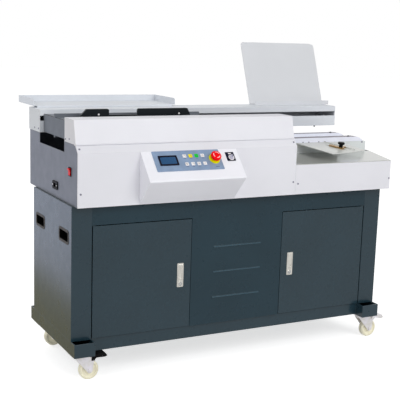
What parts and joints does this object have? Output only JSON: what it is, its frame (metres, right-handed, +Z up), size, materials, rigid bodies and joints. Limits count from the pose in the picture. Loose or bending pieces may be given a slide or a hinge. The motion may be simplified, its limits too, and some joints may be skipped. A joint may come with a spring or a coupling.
{
  "type": "perfect binding machine",
  "caption": "Floor-standing perfect binding machine: cabinet on casters, clamp carriage on a rail beam, hinged front cover, slanted control console, book tray and lectern.",
  "frame": {"origin": "on the floor, at the middle of the machine's footprint", "axes": "+X along the machine, the way the carriage travels; +Y from the front to the rear; +Z up"},
  "size_m": [1.4397, 0.815, 1.2449],
  "materials": {
    "cabinet_paint": "smooth dark blue-grey paint with a fine orange-peel",
    "louvre_paint": "smooth dark blue-grey paint",
    "door_paint": "smooth dark blue-grey paint",
    "body_paint": "satin mid-grey paint",
    "white_paint": "satin white powder coat",
    "beam_paint": "satin pale grey powder coat",
    "table_paint": "glossy warm grey paint",
    "carriage_paint": "dark grey cast face",
    "jaw_black": "black satin paint",
    "handle_bezel": "bronze-grey moulding",
    "lock_chrome": "satin chrome",
    "steel": "ground steel",
    "zinc": "bright zinc plate",
    "nylon": "cream nylon",
    "black_plastic": "fine-textured black moulding",
    "estop_red": "gloss red",
    "estop_yellow": "gloss yellow",
    "rocker_red": "gloss red",
    "keypad_film": "fine-grained blue-grey film",
    "key_white": "matte white",
    "key_yellow": "matte yellow",
    "key_green": "matte green",
    "display_bezel": "gloss black bezel round a blue panel",
    "stop_beige": "beige satin paint",
    "brass": "plain turned brass",
    "tank_aluminium": "cast aluminium",
    "lectern_paint": "pale grey powder coat"
  },
  "bodies": {
    "machine": {"base_frame": "cabinet_paint", "cabinet_shell": "cabinet_paint", "front_frame": "louvre_paint", "handle_cups": "handle_bezel", "deck_plate": "cabinet_paint", "body_shell": "body_paint", "front_panel_left": "white_paint", "front_panel_right": "white_paint", "console_housing": "white_paint", "keypad_plate": "keypad_film", "display_module": "display_bezel", "estop_collar": "estop_yellow", "key_switch": "black_plastic", "mains_inlet": "black_plastic", "power_switch_frame": "black_plastic", "rail_beam": "beam_paint", "guide_shafts": "steel", "book_tray": "beam_paint", "lectern": "lectern_paint", "table_top": "table_paint", "nip_bed": "beam_paint", "stop_plate": "stop_beige", "glue_tank": "tank_aluminium", "cutter_motor": "tank_aluminium", "caster_plates": "zinc"},
    "fork_front_left": {"caster_fork_front_left": "zinc"},
    "wheel_front_left": {"caster_wheel_front_left": "nylon"},
    "pedal_left": {"brake_pedal_left": "black_plastic"},
    "fork_rear_left": {"caster_fork_rear_left": "zinc"},
    "wheel_rear_left": {"caster_wheel_rear_left": "nylon"},
    "fork_front_right": {"caster_fork_front_right": "zinc"},
    "wheel_front_right": {"caster_wheel_front_right": "nylon"},
    "pedal_right": {"brake_pedal_right": "zinc"},
    "fork_rear_right": {"caster_fork_rear_right": "zinc"},
    "wheel_rear_right": {"caster_wheel_rear_right": "nylon"},
    "door_left": {"door_left": "door_paint", "lock_left": "lock_chrome"},
    "flap_left": {"lock_flap_left": "lock_chrome"},
    "door_right": {"door_right": "door_paint", "lock_right": "lock_chrome"},
    "flap_right": {"lock_flap_right": "lock_chrome"},
    "cover": {"front_cover": "white_paint"},
    "carriage": {"carriage": "carriage_paint"},
    "jaw": {"clamp_jaw": "jaw_black"},
    "nipper": {"nipper_front": "beam_paint"},
    "stop_slider": {"stop_slider": "brass"},
    "stop_knob": {"stop_knob": "black_plastic"},
    "key_upper_1": {"key_upper_1": "key_white"},
    "key_upper_2": {"key_upper_2": "key_yellow"},
    "key_upper_3": {"key_upper_3": "key_green"},
    "key_upper_4": {"key_upper_4": "key_white"},
    "key_lower_1": {"key_lower_1": "key_white"},
    "key_lower_2": {"key_lower_2": "key_white"},
    "key_lower_3": {"key_lower_3": "key_white"},
    "key_lower_4": {"key_lower_4": "key_white"},
    "estop_head": {"estop_head": "estop_red"},
    "selector": {"selector_knob": "black_plastic"},
    "rocker": {"power_rocker": "rocker_red"},
    "glue_roller": {"glue_roller": "steel"},
    "cutter": {"milling_cutter": "steel"}
  },
  "joints": [
    {"name": "swivel_front_left", "type": "hinge", "parent": "machine", "child": "fork_front_left", "pos_m": [-0.6739, -0.264, 0.09], "axis": [0, 0, 1], "continuous": true},
    {"name": "roll_front_left", "type": "hinge", "parent": "fork_front_left", "child": "wheel_front_left", "pos_m": [-0.6389, -0.264, 0.0375], "axis": [0, 1, 0], "continuous": true},
    {"name": "brake_left", "type": "hinge", "parent": "fork_front_left", "child": "pedal_left", "pos_m": [-0.6279, -0.264, 0.08], "axis": [0, -1, 0], "range_deg": [-8, 0]},
    {"name": "swivel_rear_left", "type": "hinge", "parent": "machine", "child": "fork_rear_left", "pos_m": [-0.6739, 0.142, 0.09], "axis": [0, 0, 1], "continuous": true},
    {"name": "roll_rear_left", "type": "hinge", "parent": "fork_rear_left", "child": "wheel_rear_left", "pos_m": [-0.6389, 0.142, 0.0375], "axis": [0, 1, 0], "continuous": true},
    {"name": "swivel_front_right", "type": "hinge", "parent": "machine", "child": "fork_front_right", "pos_m": [0.6201, -0.264, 0.09], "axis": [0, 0, 1], "continuous": true},
    {"name": "roll_front_right", "type": "hinge", "parent": "fork_front_right", "child": "wheel_front_right", "pos_m": [0.6551, -0.264, 0.0375], "axis": [0, 1, 0], "continuous": true},
    {"name": "brake_right", "type": "hinge", "parent": "fork_front_right", "child": "pedal_right", "pos_m": [0.6661, -0.264, 0.08], "axis": [0, -1, 0], "range_deg": [0, 8]},
    {"name": "swivel_rear_right", "type": "hinge", "parent": "machine", "child": "fork_rear_right", "pos_m": [0.6201, 0.142, 0.09], "axis": [0, 0, 1], "continuous": true},
    {"name": "roll_rear_right", "type": "hinge", "parent": "fork_rear_right", "child": "wheel_rear_right", "pos_m": [0.6551, 0.142, 0.0375], "axis": [0, 1, 0], "continuous": true},
    {"name": "door_left_hinge", "type": "hinge", "parent": "machine", "child": "door_left", "pos_m": [-0.6279, -0.2785, 0.373], "axis": [0, 0, -1], "range_deg": [0, 110]},
    {"name": "lock_flap_left_hinge", "type": "hinge", "parent": "door_left", "child": "flap_left", "pos_m": [-0.2754, -0.2812, 0.4066], "axis": [-1, 0, 0], "range_deg": [0, 35]},
    {"name": "door_right_hinge", "type": "hinge", "parent": "machine", "child": "door_right", "pos_m": [0.5741, -0.2785, 0.373], "axis": [0, 0, 1], "range_deg": [0, 110]},
    {"name": "lock_flap_right_hinge", "type": "hinge", "parent": "door_right", "child": "flap_right", "pos_m": [0.2216, -0.2812, 0.4066], "axis": [-1, 0, 0], "range_deg": [0, 35]},
    {"name": "cover_hinge", "type": "hinge", "parent": "machine", "child": "cover", "pos_m": [-0.24815, -0.2935, 0.884], "axis": [1, 0, 0], "range_deg": [0, 90]},
    {"name": "carriage_slide", "type": "slide", "parent": "machine", "child": "carriage", "axis": [1, 0, 0], "range_m": [0, 0.78]},
    {"name": "clamp_slide", "type": "slide", "parent": "carriage", "child": "jaw", "axis": [0, 1, 0], "range_m": [0, 0.058]},
    {"name": "nipper_slide", "type": "slide", "parent": "machine", "child": "nipper", "axis": [0, 1, 0], "range_m": [0, 0.096]},
    {"name": "stop_slide", "type": "slide", "parent": "machine", "child": "stop_slider", "axis": [0.4384, -0.8901, -0.1247], "range_m": [-0.058, 0.016]},
    {"name": "stop_knob_turn", "type": "hinge", "parent": "stop_slider", "child": "stop_knob", "pos_m": [0.4546, -0.267, 0.83171], "axis": [0, -0.1387, 0.9903], "range_deg": [0, 180]},
    {"name": "key_upper_1_press", "type": "slide", "parent": "machine", "child": "key_upper_1", "axis": [0, 0.7236, -0.6902], "range_m": [0, 0.0012], "stiffness_N_per_m": 400, "springref_m": -0.0005},
    {"name": "key_upper_2_press", "type": "slide", "parent": "machine", "child": "key_upper_2", "axis": [0, 0.7236, -0.6902], "range_m": [0, 0.0012], "stiffness_N_per_m": 400, "springref_m": -0.0005},
    {"name": "key_upper_3_press", "type": "slide", "parent": "machine", "child": "key_upper_3", "axis": [0, 0.7236, -0.6902], "range_m": [0, 0.0012], "stiffness_N_per_m": 400, "springref_m": -0.0005},
    {"name": "key_upper_4_press", "type": "slide", "parent": "machine", "child": "key_upper_4", "axis": [0, 0.7236, -0.6902], "range_m": [0, 0.0012], "stiffness_N_per_m": 400, "springref_m": -0.0005},
    {"name": "key_lower_1_press", "type": "slide", "parent": "machine", "child": "key_lower_1", "axis": [0, 0.7236, -0.6902], "range_m": [0, 0.0012], "stiffness_N_per_m": 400, "springref_m": -0.0005},
    {"name": "key_lower_2_press", "type": "slide", "parent": "machine", "child": "key_lower_2", "axis": [0, 0.7236, -0.6902], "range_m": [0, 0.0012], "stiffness_N_per_m": 400, "springref_m": -0.0005},
    {"name": "key_lower_3_press", "type": "slide", "parent": "machine", "child": "key_lower_3", "axis": [0, 0.7236, -0.6902], "range_m": [0, 0.0012], "stiffness_N_per_m": 400, "springref_m": -0.0005},
    {"name": "key_lower_4_press", "type": "slide", "parent": "machine", "child": "key_lower_4", "axis": [0, 0.7236, -0.6902], "range_m": [0, 0.0012], "stiffness_N_per_m": 400, "springref_m": -0.0005},
    {"name": "estop_press", "type": "slide", "parent": "machine", "child": "estop_head", "axis": [0, 0.7236, -0.6902], "range_m": [0, 0.005]},
    {"name": "selector_turn", "type": "hinge", "parent": "machine", "child": "selector", "pos_m": [-0.1069, -0.34587, 0.82316], "axis": [0, 0.7236, -0.6902], "range_deg": [0, 90]},
    {"name": "rocker_tilt", "type": "hinge", "parent": "machine", "child": "rocker", "pos_m": [-0.7004, -0.238, 0.781], "axis": [0, 1, 0], "range_deg": [0, 7]},
    {"name": "glue_roller_spin", "type": "hinge", "parent": "machine", "child": "glue_roller", "pos_m": [0.0356, -0.0535, 0.821], "axis": [0, 1, 0], "continuous": true},
    {"name": "cutter_spin", "type": "hinge", "parent": "machine", "child": "cutter", "pos_m": [-0.1544, -0.0535, 0.84], "axis": [0, 0, 1], "continuous": true}
  ]
}
